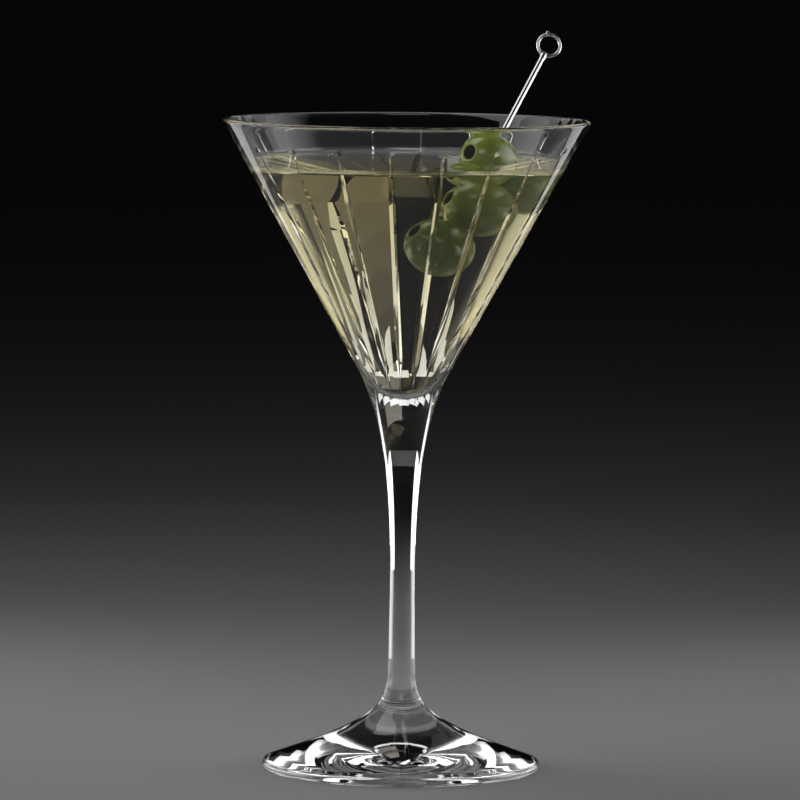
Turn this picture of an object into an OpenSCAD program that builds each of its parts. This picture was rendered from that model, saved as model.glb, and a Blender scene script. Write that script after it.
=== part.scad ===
// Cut-crystal martini glass, filled, with three pitted olives on a steel pick.
// Origin: centre of the foot on the table. +Z runs up the stem, -Y is the front.

/* [Bowl] */
// Outside diameter at the rim
rim_d = 100.8; // [99:0.2:102]
// Height from the table to the rim
glass_h = 179; // [177:0.5:181]
// Wall thickness at the rim
rim_wall = 1.3; // [1.2:0.1:1.6]
// Outside radius where the cone meets the neck
cone_foot_r = 12.9; // [12.6:0.1:13.2]
// Height at which the cone meets the neck
cone_foot_z = 110.5; // [110:0.1:111]
// Radius of the round bottom of the inside
well_r = 6.5; // [6:0.1:6.8]
// Height of the lowest point of the inside
well_z = 103.6; // [103.2:0.1:104.5]

/* [Cuts] */
// Number of long cuts round the bowl
cut_count = 20; // [16:1:22]
// Depth of a cut along its middle
cut_depth = 0.85; // [0.5:0.05:0.95]
// Half of the angle between a cut's two flanks
cut_half_angle = 46; // [40:1:50]
// Distance from the rim's height down to the top of the cuts
cut_top = 7; // [6:0.5:10]
// Height of the bottom of the cuts
cut_end_z = 107.5; // [107:0.5:110]
// Length over which a cut tapers in at its top
cut_run_in = 16; // [10:1:20]
// Length over which a cut tapers out at its bottom
cut_run_out = 7; // [6:1:9]
// Turn of the first cut from the front
cut_turn = -5.4; // [-9:0.1:9]

/* [Stem and foot] */
// Height at which the stem joins the neck of the bowl
neck_z = 84; // [83:0.5:85]
// Stem radius where it joins the neck
neck_r = 5; // [4.9:0.05:5.2]
// Height at which the stem joins the foot
ankle_z = 27; // [26.5:0.5:28]
// Stem radius where it joins the foot
ankle_r = 3.85; // [3.8:0.05:4]
// Radius of the slight swelling low on the stem
swell_r = 3.62; // [3.55:0.01:3.7]
// Height of the slight swelling
swell_z = 44; // [42:1:46]
// Diameter of the foot
foot_d = 77.2; // [76:0.1:79]
// Height of the foot's widest line
edge_z = 1.3; // [1.1:0.1:1.6]
// Width of the ring that the foot stands on
rest_w = 6.5; // [5:0.5:8]
// Rise of the hollow under the foot
hollow_h = 1.4; // [1:0.1:1.8]

/* [Drink] */
// Distance from the rim's height down to the surface of the drink
headspace = 12.9; // [12:0.1:13.5]

/* [Pick] */
// Diameter of the pick
pick_d = 1.5; // [1.4:0.05:1.6]
// Lean of the pick from upright
pick_lean = 48; // [47.5:0.5:48.5]
// Direction in which the pick leans, from +X towards +Y
pick_turn = 60; // [59:0.5:61]
// Distance along the pick from the mark at the rim down to its point
pick_below = 54.5; // [54:0.1:54.6]
// Distance along the pick from the mark at the rim up to the ring's neck
pick_above = 26; // [25:0.1:30]
// Length of the ground point
point_len = 4; // [3:0.5:6]
// Radius of the ring, to the middle of its wire
ring_r = 3.12; // [3:0.02:3.4]
// Diameter of the ring's wire
ring_wire = 0.95; // [0.8:0.05:1.1]

/* [Olives] */
// Diameter of the two lower olives across the middle
olive_d = 15.8; // [15:0.1:15.9]
// Length of the two lower olives from hole to hole
olive_len = 19; // [18:0.1:19.2]
// Diameter of the top olive across its middle
top_d = 14.8; // [14.4:0.1:15.2]
// Length of the top olive from hole to hole
top_len = 19.4; // [18.8:0.1:19.8]
// Diameter of the pitting hole
pit_d = 4; // [3.5:0.1:4.4]
// Width of the soft lip round the pitting hole
lip_w = 0.8; // [0.5:0.1:1]
// Diameter of the hole that the pick makes
pick_hole_d = 1.62; // [1.62:0.02:1.7]

/* [Hidden] */

curve_steps = 14;
arc_steps = 10;
trough_over = 4;
glass_tint = [0.86, 0.9, 0.93, 0.4];
drink_tint = [0.85, 0.8, 0.5, 0.6];
steel_tint = [0.78, 0.79, 0.8];
olive_tint = [0.5, 0.58, 0.2];
leaf_tint = [0.44, 0.52, 0.16];

// The rim is a half round between the two walls, leaning with the wall.
wall_lean = 30;
rim_round = rim_wall / 2 * cos(wall_lean);
rim_mid = [rim_d / 2 - rim_round, glass_h - rim_round];
rim_arc = [for (i = [0 : arc_steps])
    let (a = -wall_lean + 180 * i / arc_steps) rim_mid + rim_round * [cos(a), sin(a)]];
rim_out = rim_arc[0];
rim_in = rim_arc[arc_steps];

// The inside is a cone that runs tangent into a round well.
well_mid = [0, well_z + well_r];
well_arm = rim_in - well_mid;
inner_lean = atan2(well_arm[0], well_arm[1]) - asin(well_r / norm(well_arm));
well_arc = [for (i = [0 : arc_steps])
    let (a = (90 - inner_lean) * (1 - i / arc_steps)) well_mid + well_r * [sin(a), -cos(a)]];
well_side = well_arc[0];
function inside_r(z) =
    well_side[0] + (z - well_side[1]) * (rim_in[0] - well_side[0]) / (rim_in[1] - well_side[1]);

// A cubic curve between two points, steered by two others.
function curve(a, b, c, d) = [for (i = [0 : curve_steps])
    let (t = i / curve_steps, s = 1 - t)
    s * s * s * a + 3 * s * s * t * b + 3 * s * t * t * c + t * t * t * d];

// Outlines as [radius, height], upwards.
cone_foot = [cone_foot_r, cone_foot_z];
neck = [neck_r, neck_z];
ankle = [ankle_r, ankle_z];
swell = [swell_r, swell_z];
edge_top = [foot_d / 2 - 1.2, edge_z + 1.1];
brow = [16.2, 10.8];
neck_curve = curve(neck, [6.8, 94.5], [8.4, 102], cone_foot);
stem_low = curve(ankle, [3.62, 32], [3.75, 36], swell);
stem_high = curve(swell, [3.35, 58], [3.3, 68], neck);
foot_slope = curve(edge_top, [30.5, 4.9], [23, 7.5], brow);
foot_flare = curve(brow, [8.9, 14.9], [4.1, 16.6], ankle);
foot_edge = [[foot_d / 2 - 0.9, 0], [foot_d / 2 - 0.25, 0.45], [foot_d / 2, edge_z],
    [foot_d / 2 - 0.35, edge_z + 0.7]];
rest_r = foot_d / 2 - 0.9 - rest_w;
hollow = [for (i = [0 : arc_steps]) let (r = rest_r * i / arc_steps)
    [r, hollow_h * (1 - pow(r / rest_r, 2))]];

// One straight cut lies along the cone; its frame has +X into the glass and +Z downwards.
cone_lean = atan2(rim_out[0] - cone_foot[0], rim_out[1] - cone_foot[1]);
cut_start_z = glass_h - cut_top;
cut_start_r = rim_out[0] - (rim_out[1] - cut_start_z) * tan(cone_lean);
cut_len = (cut_start_z - cut_end_z) / cos(cone_lean);
trough_h = cut_depth * cut_len / cut_run_out + trough_over;

// The surface of the drink, and its small clearances.
drink_z = glass_h - headspace;
wet_gap = 0.05;
cavity_gap = 0.4;

// The pick's line crosses the rim's height here.
pick_mark = [27.9, 11.1, glass_h - 1];
ring_neck = 1.3;
ring_face_turn = -141;
ring_nod = 20;
nub_turn = 32;
tip_d = 0.35;
weld_d = 1.8;
nub_d = 1.1;
nub_out = 0.5;

// The pick's directions: across it, level across it, and up it.
pick_across = [cos(pick_lean) * cos(pick_turn), cos(pick_lean) * sin(pick_turn), -sin(pick_lean)];
pick_level = [-sin(pick_turn), cos(pick_turn), 0];
pick_up = [sin(pick_lean) * cos(pick_turn), sin(pick_lean) * sin(pick_turn), cos(pick_lean)];
function pick_point(place) =
    pick_mark + place[0] * pick_up + place[1] * pick_across + place[2] * pick_level;

// Each olive's place: distance up the pick, then how far its middle is off the pick, two ways.
// Each olive's hole: its turn from +X towards +Y, and its rise.
top_place = [-13.2, 3.5, 1.4];
middle_place = [-29.5, -1.2, -0.1];
bottom_place = [-46.1, -0.2, 2.9];
top_hole = [-131, 18];
middle_hole = [-150, 22];
bottom_hole = [-145, 32];

// A V-shaped trough whose bottom edge runs along Z at x = deep and opens towards -X.
module trough(deep, from, to) {
    half = trough_h * tan(cut_half_angle);
    translate([deep, 0, from])
        linear_extrude(height = to - from)
            polygon([[0, 0], [-trough_h, half], [-trough_h, -half]]);
}

// The glass that one cut takes away: full depth in the middle, running out at both ends.
module cut() {
    intersection() {
        trough(cut_depth, -trough_over, cut_len + trough_over);
        rotate([0, atan(cut_depth / cut_run_in), 0])
            trough(0, -trough_over, cut_len + trough_over);
        translate([0, 0, cut_len])
            rotate([0, -atan(cut_depth / cut_run_out), 0])
                trough(0, -cut_len - trough_over, trough_over);
    }
}

module bowl() {
    color(glass_tint)
        difference() {
            rotate_extrude($fn = 96)
                polygon(concat([[0, neck_z]], neck_curve, rim_arc, well_arc));
            for (i = [0 : cut_count - 1])
                rotate([0, 0, -90 + cut_turn + i * 360 / cut_count])
                    translate([cut_start_r, 0, cut_start_z])
                        rotate([0, 180 + cone_lean, 0])
                            cut();
        }
}

module stem() {
    color(glass_tint)
        rotate_extrude($fn = 48)
            polygon(concat([[0, ankle_z]], stem_low, [for (i = [1 : curve_steps]) stem_high[i]],
                [[0, neck_z]]));
}

module foot() {
    color(glass_tint)
        rotate_extrude($fn = 96)
            polygon(concat(hollow, foot_edge, foot_slope,
                [for (i = [1 : curve_steps]) foot_flare[i]], [[0, ankle_z]]));
}

// The round hollow that an olive of the given length takes up in the drink.
module room(place, len) {
    translate(pick_point(place))
        sphere(r = len / 2 + cavity_gap, $fn = 96);
}

// The drink fills the inside up to its surface, with round hollows for the olives and the pick.
module drink() {
    wet_r = inside_r(drink_z) - wet_gap;
    color(drink_tint)
        difference() {
            translate([0, 0, wet_gap])
                rotate_extrude($fn = 96)
                    polygon(concat([[0, drink_z], [wet_r, drink_z]],
                        [for (p = well_arc) [max(p[0] - wet_gap, 0), p[1]]]));
            room(top_place, top_len);
            room(middle_place, olive_len);
            room(bottom_place, olive_len);
        }
}

// The frame of the pick: +Z runs up it from the mark at the rim.
module on_pick(place) {
    translate(pick_mark)
        rotate([0, pick_lean, pick_turn])
            translate(place)
                children();
}

module pick_shaft() {
    color(steel_tint)
        on_pick([0, 0, -pick_below])
            rotate_extrude($fn = 32)
                polygon([[0, 0], [tip_d / 2, 0], [pick_d / 2, point_len],
                    [pick_d / 2, pick_below + pick_above], [0, pick_below + pick_above]]);
}

module pick_ring() {
    color(steel_tint)
        on_pick([0, 0, pick_above]) {
            cylinder(h = ring_neck, d1 = pick_d, d2 = weld_d, $fn = 32);
            translate([0, 0, ring_neck])
                rotate([0, 0, ring_face_turn])
                    rotate([0, ring_nod, 0])
                        translate([0, 0, ring_r])
                            rotate([0, 90, 0]) {
                                rotate_extrude($fn = 48)
                                    translate([ring_r, 0])
                                        circle(d = ring_wire, $fn = 24);
                                rotate([0, 0, 180 + nub_turn])
                                    translate([ring_r + nub_out, 0, 0])
                                        sphere(d = nub_d, $fn = 24);
                            }
        }
}

// The plump body of an olive, with its long axis along Z.
module olive_body(d, len) {
    rotate_extrude($fn = 64)
        polygon([for (i = [0 : 2 * arc_steps]) let (a = 90 * (i / arc_steps - 1))
            [d / 2 * cos(a), len / 2 * sin(a)]]);
}

// The pitting hole of an olive, with a soft lip at each end.
module pit(d, len) {
    lip_r = pit_d / 2 + lip_w;
    lip_z = len / 2 * sqrt(1 - pow(2 * lip_r / d, 2));
    cylinder(h = len + 2, d = pit_d, center = true, $fn = 40);
    for (side = [0, 1])
        mirror([0, 0, side])
            translate([0, 0, lip_z - lip_w])
                cylinder(h = 2 * lip_w, r1 = pit_d / 2, r2 = lip_r + lip_w, $fn = 40);
}

// An olive of diameter d with its middle at its place and its hole turned the given way.
module olive(place, hole, d, len) {
    difference() {
        translate(pick_point(place))
            rotate([0, 90 - hole[1], hole[0]])
                difference() {
                    olive_body(d, len);
                    pit(d, len);
                }
        on_pick([0, 0, place[0] - len])
            cylinder(h = 2 * len, d = pick_hole_d, $fn = 32);
    }
}

module olive_top() {
    color(olive_tint) olive(top_place, top_hole, top_d, top_len);
}

module olive_middle() {
    color(leaf_tint) olive(middle_place, middle_hole, olive_d, olive_len);
}

module olive_bottom() {
    color(olive_tint) olive(bottom_place, bottom_hole, olive_d, olive_len);
}

bowl();
stem();
foot();
drink();
pick_shaft();
pick_ring();
olive_top();
olive_middle();
olive_bottom();
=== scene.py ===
"""A cut-crystal martini glass, filled, with three pitted olives on a steel pick.

The crystal, the drink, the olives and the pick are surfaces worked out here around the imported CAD
frame, in metres. +Z is up the stem and -Y is the front.
"""

import math

import bpy
import numpy as np
from mathutils import Matrix, Vector


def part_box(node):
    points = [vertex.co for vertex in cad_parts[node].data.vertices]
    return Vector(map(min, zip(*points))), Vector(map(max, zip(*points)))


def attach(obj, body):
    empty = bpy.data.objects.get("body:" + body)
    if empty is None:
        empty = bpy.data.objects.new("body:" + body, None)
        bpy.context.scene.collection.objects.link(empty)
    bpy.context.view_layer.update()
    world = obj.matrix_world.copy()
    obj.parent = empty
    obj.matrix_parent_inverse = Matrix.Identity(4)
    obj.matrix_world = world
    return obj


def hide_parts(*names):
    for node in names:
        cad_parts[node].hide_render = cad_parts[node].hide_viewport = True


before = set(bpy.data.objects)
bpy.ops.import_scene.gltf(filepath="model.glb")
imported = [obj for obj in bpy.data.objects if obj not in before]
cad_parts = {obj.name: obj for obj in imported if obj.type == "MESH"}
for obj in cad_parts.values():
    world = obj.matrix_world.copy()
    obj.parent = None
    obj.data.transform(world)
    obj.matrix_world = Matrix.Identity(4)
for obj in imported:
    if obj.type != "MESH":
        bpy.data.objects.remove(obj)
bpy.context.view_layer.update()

MM = 0.001


# ---------------------------------------------------------------- sizes from the frame

bowl_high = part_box("bowl")[1]
foot_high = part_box("foot")[1]
stem_low, stem_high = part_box("stem")
drink_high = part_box("drink")[1]

RIM_R = bowl_high.x
RIM_Z = bowl_high.z
NECK_Z = stem_high.z
ANKLE_Z = stem_low.z
FOOT_R = foot_high.x
DRINK_Z = drink_high.z

# Sizes and points of the outline, a point as radius and height, from the rim down to the foot.
RIM_WALL = 1.3 * MM
RIM_LEAN = math.radians(30)
CONE_FOOT = np.array([12.9, 110.5]) * MM
WELL_R = 6.5 * MM
WELL_Z = 103.6 * MM
NECK = np.array([5.0 * MM, NECK_Z])
NECK_PULLS = np.array([[6.8, 94.5], [8.4, 102.0]]) * MM
SWELL = np.array([3.62, 44.0]) * MM
TAPER_PULLS = np.array([[3.35, 58.0], [3.3, 68.0]]) * MM
SHIN_PULLS = np.array([[3.62, 32.0], [3.75, 36.0]]) * MM
ANKLE = np.array([3.85 * MM, ANKLE_Z])
FLARE_PULLS = np.array([[8.9, 14.9], [4.1, 16.6]]) * MM
BROW = np.array([16.2, 10.8]) * MM
SLOPE_PULLS = np.array([[30.5, 4.9], [23.0, 7.5]]) * MM
EDGE_Z = 1.3 * MM
EDGE_TOP = np.array([FOOT_R - 1.2 * MM, EDGE_Z + 1.1 * MM])
EDGE_BULGE = 0.12 * MM
REST_OUT_R = FOOT_R - 0.9 * MM
REST_IN_R = REST_OUT_R - 6.5 * MM
HOLLOW_Z = 1.4 * MM

SEAM_MARGIN = 0.01 * MM

CUTS = 20
CUT_DEPTH = 0.85 * MM
CUT_HALF_ANGLE = math.radians(46)
CUT_START_Z = RIM_Z - 7 * MM
CUT_END_Z = 107.5 * MM
CUT_RUN_IN = 16 * MM
CUT_RUN_OUT = 7 * MM
CUT_TAIL = 4 * MM
CUT_TURN = math.radians(-5.4)
CUT_LEAST_HALF = 0.05 * MM
PANEL_STEPS = 8

DRINK_BITE = 0.06 * MM
CREEP = 1.2 * MM
CREEP_REACH = 1.0 * MM
CREEP_ZONE = 9.0 * MM

PIT_R = 1.85 * MM
PIT_LIP = 0.95 * MM
PIT_PINCH = 0.85
PIT_PINCH_WIDTH = 2.2 * MM
PIT_MARGIN = 0.12 * MM
SKIN_WAVES = 7
SKIN_WAVE_PITCH = 210
SKIN_SWELL = 0.030
SKIN_FOLDS = 9
FOLD_HEIGHT = 0.012
OLIVE_OVAL = 0.02

PICK_R = 0.75 * MM
PICK_LEAN = math.radians(48)
PICK_TURN = math.radians(60)
PICK_MARK = np.array([27.9 * MM, 11.1 * MM, RIM_Z - 1 * MM])
PICK_BELOW = 54.5 * MM
PICK_ABOVE = 26.0 * MM
PICK_POINT = 4.0 * MM
PICK_TIP_R = 0.17 * MM
PICK_FLARE = 0.14 * MM
PICK_FLARE_RUN = 1.2 * MM
RING_NECK = 1.3 * MM
RING_R = 3.12 * MM
RING_WIRE_R = 0.475 * MM
RING_FACE_TURN = math.radians(-141)
RING_NOD = math.radians(20)
WELD_HEIGHT = 0.32 * MM
WELD_SPREAD = 0.30
NUB_TURN = math.radians(32)
NUB_HEIGHT = 0.62 * MM
NUB_SPREAD = 0.135
ROUND_METAL = math.radians(60)


# ---------------------------------------------------------------- mesh helpers

def curve(a, b, c, d, steps):
    """Cubic Bezier from a to d steered by b and c: s^3 a + 3 s^2 t b + 3 s t^2 c + t^3 d, s = 1 - t."""
    t = np.linspace(0, 1, steps + 1)[:, None]
    s = 1 - t
    return s**3 * a + 3 * s**2 * t * b + 3 * s * t**2 * c + t**3 * d


def joined(*runs):
    """Several runs of outline points as one, each next run without its first point."""
    return np.concatenate([runs[0]] + [run[1:] for run in runs[1:]])


def spaced(points, gap):
    """The same outline with a point about every gap along it."""
    step = np.linalg.norm(np.diff(points, axis=0), axis=1)
    along = np.concatenate([[0], np.cumsum(step)])
    fine = np.linspace(0, along[-1], max(2, int(round(along[-1] / gap)) + 1))
    return np.stack([np.interp(fine, along, points[:, k]) for k in range(points.shape[1])], axis=1)


def turned(outline, columns):
    """Rings of a turned surface: (r, z) becomes (r cos a, r sin a, z) at even angles a."""
    a = np.linspace(0, 2 * math.pi, columns, endpoint=False)
    r, z = outline[:, :1], outline[:, 1:]
    return np.stack([r * np.cos(a), r * np.sin(a), z + 0 * a], axis=2)


def surface(name, rings, first=None, last=None, looped=False, materials=(), pick_material=None,
            sharp=math.radians(28)):
    """A closed surface through rings of points. first and last are pole points; looped joins the
    last ring to the first. A face's corners run along its ring, then up, so it points outwards."""
    rows, columns = rings.shape[:2]
    row, col = np.meshgrid(np.arange(rows if looped else rows - 1), np.arange(columns), indexing="ij")
    up, on = (row + 1) % rows, (col + 1) % columns
    quads = np.stack([row * columns + col, row * columns + on, up * columns + on, up * columns + col],
                     axis=2).reshape(-1, 4)
    faces = quads.tolist()
    points = rings.reshape(-1, 3).tolist()
    c = np.arange(columns)
    n = (c + 1) % columns
    if first is not None:
        pole = np.full(columns, len(points))
        faces += np.stack([pole, n, c], axis=1).tolist()
        points.append(list(first))
    if last is not None:
        pole = np.full(columns, len(points))
        base = (rows - 1) * columns
        faces += np.stack([base + c, base + n, pole], axis=1).tolist()
        points.append(list(last))
    mesh = bpy.data.meshes.new(name)
    mesh.from_pydata(points, [], faces, shade_flat=False)
    mesh.set_sharp_from_angle(angle=sharp)
    for material in materials:
        mesh.materials.append(material)
    if pick_material is not None:
        centres = np.empty(len(mesh.polygons) * 3)
        mesh.polygons.foreach_get("center", centres)
        normals = np.empty(len(mesh.polygons) * 3)
        mesh.polygons.foreach_get("normal", normals)
        slots = pick_material(centres.reshape(-1, 3), normals.reshape(-1, 3)).astype(np.int32)
        mesh.polygons.foreach_set("material_index", slots)
    mesh.update()
    piece = bpy.data.objects.new(name, mesh)
    bpy.context.scene.collection.objects.link(piece)
    return piece


# ---------------------------------------------------------------- shader helpers

class Value:
    """One output socket. Sums and products of it add Math nodes."""

    def __init__(self, finish, socket):
        self.finish = finish
        self.socket = socket

    def math(self, operation, *terms):
        return self.finish.node("ShaderNodeMath", {"operation": operation}, dict(enumerate(terms)))[0]

    def __add__(self, other):
        return self.math("ADD", self, other)

    def __mul__(self, other):
        return self.math("MULTIPLY", self, other)

    __radd__ = __add__
    __rmul__ = __mul__


class Finish:
    """One material and the nodes in it."""

    def __init__(self, name):
        self.material = bpy.data.materials.new(name)
        self.material.use_nodes = True
        self.tree = self.material.node_tree
        self.tree.nodes.clear()

    def node(self, kind, settings=None, sockets=None):
        """Adds a node, sets it up, gives its sockets values or links, and returns its outputs."""
        node = self.tree.nodes.new(kind)
        for key, value in (settings or {}).items():
            if key == "stops":
                self.set_stops(node.color_ramp, value)
            else:
                setattr(node, key, value)
        for key, value in (sockets or {}).items():
            if isinstance(value, Value):
                self.tree.links.new(value.socket, node.inputs[key])
            else:
                node.inputs[key].default_value = value
        return [Value(self, socket) for socket in node.outputs]

    @staticmethod
    def set_stops(ramp, stops):
        while len(ramp.elements) < len(stops):
            ramp.elements.new(1.0)
        for element, (place, colour) in zip(ramp.elements, stops):
            element.position = place
            element.color = colour

    def place(self):
        """Object coordinates, in metres."""
        return self.node("ShaderNodeTexCoord")[3]

    def noise(self, scale, detail=3.0, rough=0.5, stretch=(1, 1, 1), warp=0.0):
        """Noise between 0 and 1 with features about 1/scale metres across."""
        spot = self.node("ShaderNodeVectorMath", {"operation": "MULTIPLY"},
                         {0: self.place(), 1: stretch})[0]
        return self.node("ShaderNodeTexNoise", {}, {"Vector": spot, "Scale": scale, "Detail": detail,
                                                    "Roughness": rough, "Distortion": warp})[0]

    def ramp(self, value, stops):
        return self.node("ShaderNodeValToRGB", {"stops": stops}, {"Fac": value})[0]

    def blend(self, amount, colour_a, colour_b):
        out = self.node("ShaderNodeMix", {"data_type": "RGBA"}, {0: amount, 6: colour_a, 7: colour_b})
        return out[2]

    def bump(self, height, distance, strength=1.0):
        return self.node("ShaderNodeBump", {}, {"Height": height, "Distance": distance,
                                                "Strength": strength})[0]

    def done(self, shader, volume=None):
        sockets = {"Surface": shader}
        if volume is not None:
            sockets["Volume"] = volume
        self.node("ShaderNodeOutputMaterial", {}, sockets)
        return self.material


def crystal_finish():
    """Clear lead crystal: a trace of waviness from the hand that fire polished it."""
    f = Finish("crystal")
    tone = f.ramp(f.noise(40.0), [(0.3, (0.985, 0.99, 0.995, 1)), (0.7, (1, 1, 1, 1))])
    wave = f.noise(55.0, detail=1.0, stretch=(1, 1, 0.45))
    normal = f.bump(wave, 0.00006)
    shader = f.node("ShaderNodeBsdfPrincipled", {}, {
        "Base Color": tone, "Roughness": 0.0, "IOR": 1.52, "Transmission Weight": 1.0, "Normal": normal})[0]
    return f.done(shader)


def seam_finish():
    """Where two gathers of glass are fused there is nothing to see, so light passes straight on."""
    f = Finish("fused_joint")
    shader = f.node("ShaderNodeBsdfTransparent", {}, {"Color": (1, 1, 1, 1)})[0]
    return f.done(shader)


def drink_finish():
    """A pale straw spirit: nearly clear, its colour comes from its depth."""
    f = Finish("drink")
    tone = f.ramp(f.noise(60.0, detail=1.0), [(0.3, (0.99, 0.99, 0.98, 1)), (0.7, (1, 1, 1, 1))])
    shader = f.node("ShaderNodeBsdfPrincipled", {}, {
        "Base Color": tone, "Roughness": 0.0, "IOR": 1.355, "Transmission Weight": 1.0})[0]
    depth = f.node("ShaderNodeVolumeAbsorption", {}, {"Color": (0.80, 0.70, 0.20, 1), "Density": 18.0})[0]
    return f.done(shader, depth)


def steel_finish():
    """Polished steel with faint draw lines."""
    f = Finish("polished_steel")
    lines = f.noise(5000.0, detail=2.0, stretch=(1, 1, 0.2))
    tone = f.blend(lines, (0.82, 0.82, 0.83, 1), (0.92, 0.92, 0.92, 1))
    shader = f.node("ShaderNodeBsdfPrincipled", {}, {
        "Base Color": tone, "Metallic": 1.0, "Roughness": lines * 0.12 + 0.20,
        "Normal": f.bump(lines, 0.000002)})[0]
    return f.done(shader)


def olive_finish(name, shade):
    """Brined olive skin: mottled yellow green, moist, with fine pores."""
    f = Finish(name)
    mottle = f.noise(170.0, detail=4.0, rough=0.6)
    blotch = f.noise(70.0, detail=2.0, warp=0.6)
    pores = f.noise(1500.0, detail=2.0)
    dark = tuple(shade * c for c in (0.12, 0.20, 0.004)) + (1,)
    mid = tuple(shade * c for c in (0.29, 0.40, 0.012)) + (1,)
    pale = tuple(shade * c for c in (0.50, 0.58, 0.06)) + (1,)
    tone = f.ramp(mottle * 0.6 + blotch * 0.4, [(0.30, dark), (0.5, mid), (0.72, pale)])
    shader = f.node("ShaderNodeBsdfPrincipled", {}, {
        "Base Color": tone, "Roughness": mottle * 0.12 + 0.20, "IOR": 1.42,
        "Subsurface Weight": 0.35, "Subsurface Radius": (0.6, 1.0, 0.1), "Subsurface Scale": 0.004,
        "Coat Weight": 0.7, "Coat Roughness": 0.16, "Coat IOR": 1.6,
        "Normal": f.bump(pores * 0.3 + mottle, 0.00010)})[0]
    return f.done(shader)


def pit_flesh_painted_shade_finish():
    """The cut flesh inside a pit: dull, brownish green and painted dark as shade down the hole."""
    f = Finish("olive_pit_flesh_painted_shade")
    grain = f.noise(600.0, detail=3.0)
    # Painted shade: both tones are near black, standing in for the shade down the pit rather than the
    # flesh's own colour.
    tone = f.blend(grain, (0.020, 0.022, 0.004, 1), (0.055, 0.055, 0.012, 1))
    shader = f.node("ShaderNodeBsdfPrincipled", {}, {
        "Base Color": tone, "Roughness": grain * 0.2 + 0.5, "Specular IOR Level": 0.25,
        "Normal": f.bump(grain, 0.0002)})[0]
    return f.done(shader)


def floor_finish():
    """A plain pale table top."""
    f = Finish("floor")
    tone = f.ramp(f.noise(3.0), [(0.3, (0.50, 0.50, 0.50, 1)), (0.7, (0.53, 0.53, 0.53, 1))])
    shader = f.node("ShaderNodeBsdfPrincipled", {}, {"Base Color": tone, "Roughness": 0.6})[0]
    return f.done(shader)


crystal = crystal_finish()
seam = seam_finish()
steel = steel_finish()


# ---------------------------------------------------------------- the crystal

RIM_ROUND = RIM_WALL / 2 * math.cos(RIM_LEAN)
RIM_MID = np.array([RIM_R - RIM_ROUND, RIM_Z - RIM_ROUND])
rim_turn = -RIM_LEAN + np.linspace(0, math.pi, 13)
rim_arc = RIM_MID + RIM_ROUND * np.stack([np.cos(rim_turn), np.sin(rim_turn)], axis=1)
RIM_OUT, RIM_IN = rim_arc[0], rim_arc[-1]

WELL_MID = np.array([0, WELL_Z + WELL_R])
well_arm = RIM_IN - WELL_MID
INNER_LEAN = math.atan2(well_arm[0], well_arm[1]) - math.asin(WELL_R / np.linalg.norm(well_arm))
well_turn = np.linspace(math.pi / 2 - INNER_LEAN, 0, 15)
well_arc = WELL_MID + WELL_R * np.stack([np.sin(well_turn), -np.cos(well_turn)], axis=1)
CONE_LEAN = math.atan2(RIM_OUT[0] - CONE_FOOT[0], RIM_OUT[1] - CONE_FOOT[1])


def inside_r(z):
    """Radius of the straight inside wall at height z."""
    side = well_arc[0]
    return side[0] + (z - side[1]) * (RIM_IN[0] - side[0]) / (RIM_IN[1] - side[1])


def cut_depth(z):
    """Depth of a cut below the straight cone at height z: it ramps in, holds, and ramps out."""
    along = (CUT_START_Z - z) / math.cos(CONE_LEAN)
    length = (CUT_START_Z - CUT_END_Z) / math.cos(CONE_LEAN)
    ramp_in = CUT_DEPTH * along / CUT_RUN_IN
    ramp_out = CUT_DEPTH * (length - along) / CUT_RUN_OUT
    return np.minimum(np.minimum(ramp_in, ramp_out), CUT_DEPTH)


def bowl_outside(outline):
    """Rings of the outside wall with its V cuts.

    A cut is a V of fixed flank angle laid straight along the cone. Where |y| is the distance from
    its middle, its floor lies depth - |y| / tan(half angle) inside the cone; the wall is moved in
    along the cone's normal wherever that floor is deeper than the turned outline itself. Columns
    follow the middle, the flanks and the two edges of every cut, and share the panel between."""
    r, z = outline[:, 0], outline[:, 1]
    slope = 1 / math.tan(CUT_HALF_ANGLE)
    cone_r = RIM_OUT[0] - (RIM_OUT[1] - z) * math.tan(CONE_LEAN)
    own = (cone_r - r) * math.cos(CONE_LEAN)
    depth = np.where(z > CUT_END_Z - CUT_TAIL, cut_depth(z), -CUT_RUN_IN)
    room = np.maximum(depth - own, 0)
    bend = math.cos(CONE_LEAN) / (2 * r)
    half = (-slope + np.sqrt(slope**2 + 4 * bend * room)) / (2 * bend)
    edge = np.maximum(half, CUT_LEAST_HALF) / r
    sector = 2 * math.pi / CUTS
    steps = np.arange(1, PANEL_STEPS)[None, :] / PANEL_STEPS
    edge = edge[:, None]
    offsets = np.concatenate([0 * edge, edge / 2, edge, edge + (sector - 2 * edge) * steps,
                              sector - edge, sector - edge / 2], axis=1)
    near = np.where(offsets > sector / 2, offsets - sector, offsets)
    y = np.abs(r[:, None] * np.sin(near))
    curved = r[:, None] * (1 - np.cos(near)) * math.cos(CONE_LEAN)
    sunk = np.maximum(depth[:, None] - y * slope - own[:, None] - curved, 0)
    first = -math.pi / 2 + CUT_TURN + sector * np.arange(CUTS)
    turn = (first[None, :, None] + offsets[:, None, :]).reshape(len(r), -1)
    middle = (turn.reshape(len(r), CUTS, -1) - near[:, None, :]).reshape(len(r), -1)
    sunk = np.repeat(sunk[:, None, :], CUTS, axis=1).reshape(len(r), -1)
    inward = sunk * math.cos(CONE_LEAN)
    return np.stack([r[:, None] * np.cos(turn) - inward * np.cos(middle),
                     r[:, None] * np.sin(turn) - inward * np.sin(middle),
                     z[:, None] + sunk * math.sin(CONE_LEAN)], axis=2)


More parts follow.
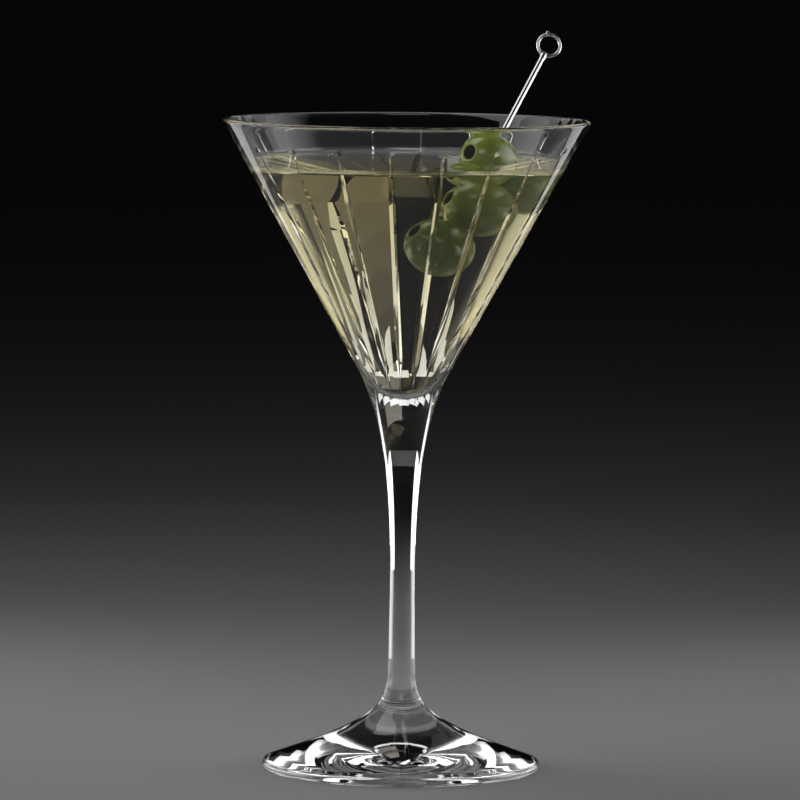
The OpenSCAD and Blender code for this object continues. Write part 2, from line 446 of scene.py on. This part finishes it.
def build_bowl():
    """The bowl: neck and cone with cuts, half-round rim, straight inside and round well."""
    neck = spaced(curve(NECK, *NECK_PULLS, CONE_FOOT, 60), 0.9 * MM)
    cone = spaced(np.array([CONE_FOOT, RIM_OUT]), 0.8 * MM)
    outside = bowl_outside(joined(neck, cone))
    top = outside[-1]
    turn = np.arctan2(top[:, 1], top[:, 0])
    inner = joined(rim_arc, spaced(np.array([RIM_IN, well_arc[0]]), 2.2 * MM), well_arc)[1:-1]
    r, z = inner[:, :1], inner[:, 1:]
    inside = np.stack([r * np.cos(turn), r * np.sin(turn), z + 0 * turn], axis=2)
    rings = np.concatenate([outside, inside])

    def fused(centres, normals):
        return (normals[:, 2] < -0.99) & (centres[:, 2] < NECK_Z + SEAM_MARGIN)

    piece = surface("crystal_bowl", rings, first=(0, 0, NECK_Z), last=(0, 0, WELL_Z),
                    materials=(crystal, seam), pick_material=fused)
    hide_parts("bowl")
    return piece


def build_stem():
    """The stem: a slight swelling low down, then a long taper that opens into the neck."""
    low = curve(ANKLE, *SHIN_PULLS, SWELL, 40)
    high = curve(SWELL, *TAPER_PULLS, NECK, 80)
    rings = turned(spaced(joined(low, high), 0.8 * MM), 144)

    def fused(centres, normals):
        return np.abs(normals[:, 2]) > 0.99

    piece = surface("crystal_stem", rings, first=(0, 0, ANKLE_Z), last=(0, 0, NECK_Z),
                    materials=(crystal, seam), pick_material=fused)
    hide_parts("stem")
    return piece


def build_foot():
    """The foot: a hollowed underside, a flat ring to stand on, a round edge and a flared top.

    The hollow is a parabola: at the share t of its radius it is HOLLOW_Z (1 - t^2) high."""
    t = np.linspace(0.02, 1, 28)
    hollow = np.stack([REST_IN_R * t, HOLLOW_Z * (1 - t**2)], axis=1)
    rest = spaced(np.array([[REST_IN_R, 0], [REST_OUT_R, 0]]), 1.0 * MM)
    bulge_r = FOOT_R + EDGE_BULGE
    edge = curve(np.array([REST_OUT_R, 0]), np.array([bulge_r, 0]),
                 np.array([bulge_r, EDGE_Z + 0.6 * MM]), EDGE_TOP, 16)
    slope = curve(EDGE_TOP, *SLOPE_PULLS, BROW, 40)
    flare = curve(BROW, *FLARE_PULLS, ANKLE, 60)
    upper = spaced(joined(slope, flare), 0.7 * MM)
    rings = turned(joined(hollow, rest, edge, upper), 240)

    def fused(centres, normals):
        return (normals[:, 2] > 0.99) & (centres[:, 2] > ANKLE_Z - SEAM_MARGIN)

    piece = surface("crystal_foot", rings, first=(0, 0, HOLLOW_Z), last=(0, 0, ANKLE_Z),
                    materials=(crystal, seam), pick_material=fused)
    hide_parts("foot")
    return piece


# ---------------------------------------------------------------- the drink

def build_drink():
    """The drink: its side lies a hair inside the glass, and its edge creeps up the wall.

    The creep is CREEP exp(-distance from the wall / CREEP_REACH) high."""
    edge_z = DRINK_Z + CREEP
    straight = np.array([well_arc[0], [inside_r(edge_z), edge_z]])
    wall = spaced(joined(well_arc[::-1], straight), 1.5 * MM)
    outward = np.array([math.cos(INNER_LEAN), -math.sin(INNER_LEAN)])
    side = wall[1:] + DRINK_BITE * outward
    side[:, 1] = np.maximum(side[:, 1], WELL_Z - DRINK_BITE)
    brim = side[-1, 0] - DRINK_BITE
    t = np.linspace(0, 1, 26)[1:]
    away = CREEP_ZONE * t**1.8
    top = np.stack([brim - away, DRINK_Z + CREEP * np.exp(-away / CREEP_REACH)], axis=1)
    flat = np.stack([np.linspace(top[-1, 0], 2 * MM, 10)[1:], np.full(9, DRINK_Z)], axis=1)
    rings = turned(np.concatenate([side, top, flat]), 192)
    piece = surface("drink_body", rings, first=(0, 0, WELL_Z - DRINK_BITE), last=(0, 0, DRINK_Z),
                    materials=(drink_finish(),))
    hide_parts("drink")
    return piece


# ---------------------------------------------------------------- the pick

lean_sin, lean_cos = math.sin(PICK_LEAN), math.cos(PICK_LEAN)
turn_sin, turn_cos = math.sin(PICK_TURN), math.cos(PICK_TURN)
PICK_UP = np.array([lean_sin * turn_cos, lean_sin * turn_sin, lean_cos])
PICK_ACROSS = np.array([lean_cos * turn_cos, lean_cos * turn_sin, -lean_sin])
PICK_LEVEL = np.array([-turn_sin, turn_cos, 0])


def pick_point(along, across=0.0, level=0.0):
    """A point given by its distances up the pick and off it, two ways."""
    return PICK_MARK + along * PICK_UP + across * PICK_ACROSS + level * PICK_LEVEL


def pick_frame():
    """The pick's own frame: X across it, Y level across it, Z up it, from the mark at the rim."""
    axes = Matrix(np.stack([PICK_ACROSS, PICK_LEVEL, PICK_UP], axis=1).tolist()).to_4x4()
    return Matrix.Translation(PICK_MARK.tolist()) @ axes


def moved(rings, matrix):
    """The same points carried by a matrix."""
    m = np.array(matrix)
    return rings @ m[:3, :3].T + m[:3, 3]


def build_shaft():
    """The shaft: a ground point with a round end, a straight rod and a short flare under the ring.

    The flare widens with the square of the way up it."""
    turn = np.linspace(0, math.pi / 2, 15)[1:]
    nose = PICK_TIP_R * np.stack([np.sin(turn), 1 - np.cos(turn)], axis=1)
    grind = curve(nose[-1], np.array([0.45 * MM, 1.9 * MM]), np.array([PICK_R, 3.0 * MM]),
                  np.array([PICK_R, PICK_POINT]), 30)
    top_z = PICK_BELOW + PICK_ABOVE
    flare_z = top_z - PICK_FLARE_RUN
    rod = spaced(np.array([[PICK_R, PICK_POINT], [PICK_R, flare_z]]), 1.0 * MM)
    t = np.linspace(0, 1, 14)
    flare = np.stack([PICK_R + PICK_FLARE * t**2, flare_z + PICK_FLARE_RUN * t], axis=1)
    outline = joined(nose, grind, rod, flare)
    from_tip = pick_frame() @ Matrix.Translation((0, 0, -PICK_BELOW))
    rings = moved(turned(outline, 64), from_tip)
    ends = moved(np.array([[0, 0, 0], [0, 0, top_z]]), from_tip)
    piece = surface("steel_pick_shaft", rings, first=ends[0], last=ends[1], materials=(steel,),
                    sharp=ROUND_METAL)
    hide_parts("pick_shaft")
    return piece


def build_ring():
    """The wire ring with its weld and the small nub where the wire was cut off.

    The wire's radius at angle a round the ring is the plain one, plus a bell at the weld. The nub is
    a bell of height added on the wire's outer side only."""
    a = np.linspace(0, 2 * math.pi, 180, endpoint=False)[:, None]
    b = np.linspace(0, 2 * math.pi, 36, endpoint=False)[None, :]
    from_weld = np.minimum(a, 2 * math.pi - a)
    wire = RING_WIRE_R + WELD_HEIGHT * np.exp(-(from_weld / WELD_SPREAD)**2)
    nub_at = math.pi + NUB_TURN
    bell = np.exp(-((a - nub_at) / NUB_SPREAD)**4)
    out = wire * np.cos(b) + bell * np.clip(np.cos(b), 0, 1) * NUB_HEIGHT
    side = wire * np.sin(b) * (1 + 0.05 * bell)
    rings = np.stack([(RING_R + out) * np.cos(a), (RING_R + out) * np.sin(a), side + 0 * a], axis=2)
    place = (pick_frame() @ Matrix.Translation((0, 0, PICK_ABOVE + RING_NECK))
             @ Matrix.Rotation(RING_FACE_TURN, 4, "Z") @ Matrix.Rotation(RING_NOD, 4, "Y")
             @ Matrix.Translation((0, 0, RING_R)) @ Matrix.Rotation(math.pi / 2, 4, "Y"))
    piece = surface("steel_pick_ring", moved(rings, place), looped=True, materials=(steel,),
                    sharp=ROUND_METAL)
    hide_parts("pick_ring")
    return piece


def build_weld():
    """The weld: a short neck that joins the shaft to the ring.

    It bulges by a half sine wave, and its last quarter closes as a quarter circle."""
    t = np.linspace(0, 1, 22)
    length = RING_NECK + 0.2 * MM
    radius = (PICK_R + PICK_FLARE) + 0.05 * MM * np.sin(math.pi * t)
    last_quarter = ((t - 0.75) / 0.25).clip(0, 1)
    close = np.sqrt(1 - last_quarter**2) * 0.999 + 0.001
    outline = np.stack([radius * close, length * t], axis=1)
    start = pick_frame() @ Matrix.Translation((0, 0, PICK_ABOVE - 0.02 * MM))
    ends = moved(np.array([[0, 0, 0], [0, 0, length]]), start)
    return surface("steel_pick_weld", moved(turned(outline, 48), start), first=ends[0], last=ends[1],
                   materials=(steel,), sharp=ROUND_METAL)


# ---------------------------------------------------------------- the olives

def build_olive(name, node, size, place, hole, seed, finish):
    """An olive: an egg-round body whose long axis is its pitting hole.

    size is its thickness and length, place is in millimetres along, across and level on the pick,
    hole is the azimuth and rise of the pitting hole in degrees, and finish is the skin and the
    flesh of the pit, whose colour is painted shade. The outline runs over the outside, rolls round
    a soft lip, and comes back down the hole, which pinches by a bell curve. The skin swells by a
    mean of sine waves that run across it at random, and is gathered at the lip in folds, a cosine of the
    turn."""
    olive_r, half = (v / 2 * MM for v in size)
    centre = pick_point(*(v * MM for v in place))
    lip_r = PIT_R + PIT_LIP
    start = math.asin(lip_r / olive_r)
    a = np.linspace(start, math.pi - start, 57)
    body = np.stack([olive_r * np.sin(a), half * np.cos(a)], axis=1)
    top = body[0]
    bore_half = half - 1.9 * MM
    roll = curve(np.array([PIT_R, bore_half]), np.array([PIT_R, half - 0.45 * MM]),
                 np.array([PIT_R + 0.35 * MM, top[1] + 0.3 * MM]), top, 12)
    depth = np.linspace(-1, 1, 25) * bore_half
    pinch = 1 - PIT_PINCH * np.exp(-((depth + 0.4 * half) / PIT_PINCH_WIDTH)**2)
    bore = np.stack([PIT_R * pinch, depth], axis=1)
    outline = np.concatenate([bore[:-1], roll[:-1], body, roll[::-1][1:-1] * [1, -1]])[::-1]
    rings = turned(outline, 96)
    x, y, z = rings[..., 0], rings[..., 1], rings[..., 2]
    r = np.hypot(x, y)
    turn = np.arctan2(y, x)
    rng = np.random.default_rng(seed)
    wave = np.zeros_like(x)
    for _ in range(SKIN_WAVES):
        push = rng.normal(size=3) * SKIN_WAVE_PITCH
        wave += np.sin(x * push[0] + y * push[1] + z * push[2] + rng.uniform(0, 6.28)) / SKIN_WAVES
    skin = np.clip((r - PIT_R) / (2 * MM), 0, 1)
    at_lip = np.exp(-((r - lip_r) / (0.8 * MM))**2)
    folds = np.cos(turn * SKIN_FOLDS + 3 * np.sin(turn * 2 + seed)) * at_lip
    grow = 1 + skin * (SKIN_SWELL * wave) + folds * FOLD_HEIGHT
    oval = 1 + OLIVE_OVAL * np.cos(2 * turn + seed)
    local = np.stack([x * grow * oval, y * grow / oval, z * (1 + 0.02 * skin * wave)], axis=2)
    azimuth, rise = (math.radians(v) for v in hole)
    spin = np.array(Matrix.Rotation(azimuth, 3, "Z") @ Matrix.Rotation(math.pi / 2 - rise, 3, "Y"))
    points = local @ spin.T + centre

    def inside(centres, normals):
        """Faces of the pit, which take the flesh with its painted shade: those nearer its line than the
        lip.
        """
        off = (centres - centre) @ spin
        return np.hypot(off[:, 0], off[:, 1]) < PIT_R + PIT_MARGIN

    piece = surface(name, points, looped=True, materials=finish, pick_material=inside,
                    sharp=ROUND_METAL)
    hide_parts(node)
    return piece


# ---------------------------------------------------------------- assembly

for piece in (build_bowl(), build_stem(), build_foot()):
    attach(piece, "glass")

drink = build_drink()
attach(drink, "glass")

# Piece, node, thickness and length, place on the pick, azimuth and rise of the hole, seed, shade.
OLIVES = (
    ("green_olive_top", "olive_top", (14.8, 19.4), (-13.2, 3.5, 1.4), (-131, 18), 3, 1.0),
    ("green_olive_middle", "olive_middle", (15.8, 19.0), (-29.5, -1.2, -0.1), (-150, 22), 8, 0.95),
    ("green_olive_bottom", "olive_bottom", (15.8, 19.0), (-46.1, -0.2, 2.9), (-145, 32), 13, 0.95),
)
# The pit's flesh, coloured with painted shade down the hole.
pit_flesh_painted_shade = pit_flesh_painted_shade_finish()
for name, node, size, place, hole, seed, shade in OLIVES:
    skins = (olive_finish(name + "_skin", shade), pit_flesh_painted_shade)
    olive = build_olive(name, node, size, place, hole, seed, skins)
    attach(olive, node)

for piece in (build_shaft(), build_ring(), build_weld()):
    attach(piece, "pick")


# ---------------------------------------------------------------- stage, light and camera

FLOOR_Z = -0.05 * MM


def build_floor():
    """The floor: flat rings whose columns run backwards, so that its faces point up."""
    rings = turned(np.array([[0.02, FLOOR_Z], [0.3, FLOOR_Z], [12.0, FLOOR_Z]]), 64)[:, ::-1]
    return surface("floor", rings, first=(0, 0, FLOOR_Z), materials=(floor_finish(),))


build_floor()


def soft_panel(name, azimuth, distance, size, base, radiance, tint=(1, 1, 1), tilt=0.0, spread=180):
    """A soft light panel that faces the glass's axis, tilted down from level by tilt degrees.

    azimuth is measured from straight behind towards the right, in degrees. base is the height of
    its lower edge while it stands upright. A smaller spread keeps its light nearer its own line."""
    lamp = bpy.data.lights.new(name, "AREA")
    lamp.shape = "RECTANGLE"
    lamp.size, lamp.size_y = size
    lamp.energy = radiance * 4 * size[0] * size[1]
    lamp.color = tint
    lamp.spread = math.radians(spread)
    panel = bpy.data.objects.new(name, lamp)
    turn = math.radians(azimuth)
    centre = Vector((math.sin(turn) * distance, math.cos(turn) * distance, base + size[1] / 2))
    facing = Matrix.Rotation(-turn, 4, "Z") @ Matrix.Rotation(math.radians(tilt - 90), 4, "X")
    panel.matrix_world = Matrix.Translation(centre) @ facing
    panel.visible_camera = False
    bpy.context.scene.collection.objects.link(panel)


for side, name in ((-1, "left"), (1, "right")):
    soft_panel(name + "_panel", side * 78, 0.42, (0.44, 0.57), 0.03, 0.50, spread=90)
    soft_panel(name + "_low_panel", side * 42, 0.45, (0.20, 0.15), 0.0, 0.3, spread=80)
    soft_panel(name + "_stem_panel", side * 52, 0.18, (0.12, 0.055), 0.0, 0.05, spread=50)

# Warm light behind the drink to the right: a low strip, and bands that grow brighter upwards.
STRAW_AZIMUTH = 15.3
STRAW_DISTANCE = 0.31
STRAW_WIDTH = 0.14
STRAW_BANDS = 6
BAND_HEIGHT = 0.012
TOP_BAND_HEIGHT = 0.10
soft_panel("mirror_panel", STRAW_AZIMUTH, STRAW_DISTANCE, (STRAW_WIDTH, 0.060), 0.158, 0.15,
           tint=(1, 0.93, 0.8))
for band in range(STRAW_BANDS):
    height = BAND_HEIGHT if band < STRAW_BANDS - 1 else TOP_BAND_HEIGHT
    soft_panel("straw_panel", STRAW_AZIMUTH, STRAW_DISTANCE, (STRAW_WIDTH, height),
               0.224 + BAND_HEIGHT * band, 0.06 + 0.024 * band, tint=(1, 0.93, 0.82))

# Far, narrow strips that only the flanks of the cuts pick up, a little higher to either side.
CUT_LIGHT_DISTANCE = 1.5
BOWL_MIDDLE_Z = 0.135
for azimuth in (-36, -24, -12, 0, 12, 24, 36):
    low_rise, top_rise = 15 + 0.0065 * azimuth**2, 17.6 + 0.0085 * azimuth**2
    low_z, top_z = (BOWL_MIDDLE_Z + CUT_LIGHT_DISTANCE * math.tan(math.radians(rise))
                    for rise in (low_rise, top_rise))
    soft_panel("cut_light", azimuth, CUT_LIGHT_DISTANCE, (0.32, top_z - low_z), low_z, 0.034,
               tilt=(low_rise + top_rise) / 2, spread=40)

soft_panel("overhead_panel", -56, 0.22, (0.36, 0.3), 0.42, 1.1, tilt=75)
soft_panel("front_panel", 180, 1.2, (0.7, 0.45), 0.75, 0.12, tilt=34, spread=50)

world = bpy.data.worlds.new("studio")
world.use_nodes = True
world.node_tree.nodes["Background"].inputs["Color"].default_value = (0.003, 0.003, 0.0035, 1)
bpy.context.scene.world = world

CAMERA_LENS = 273.787
CAMERA_PLACE = (0, -1.66799, 0.250502)
CAMERA_TURN = 6.7e-4
CAMERA_DIP = 0.0888907
CAMERA_ROLL = 0.0094856
camera_data = bpy.data.cameras.new("camera")
camera_data.sensor_width = 36
camera_data.lens = CAMERA_LENS
camera_data.clip_end = 40
camera = bpy.data.objects.new("camera", camera_data)
camera.matrix_world = (
    Matrix.Translation(CAMERA_PLACE)
    @ Matrix.Rotation(CAMERA_TURN, 4, "Z")
    @ Matrix.Rotation(math.pi / 2 - CAMERA_DIP, 4, "X")
    @ Matrix.Rotation(CAMERA_ROLL, 4, "Z")
)
bpy.context.scene.collection.objects.link(camera)
bpy.context.scene.camera = camera
bpy.context.scene.view_settings.view_transform = "Standard"

cycles = bpy.context.scene.cycles
cycles.max_bounces = 28
cycles.transmission_bounces = 26
cycles.glossy_bounces = 12
cycles.transparent_max_bounces = 16
cycles.sample_clamp_indirect = 12.0
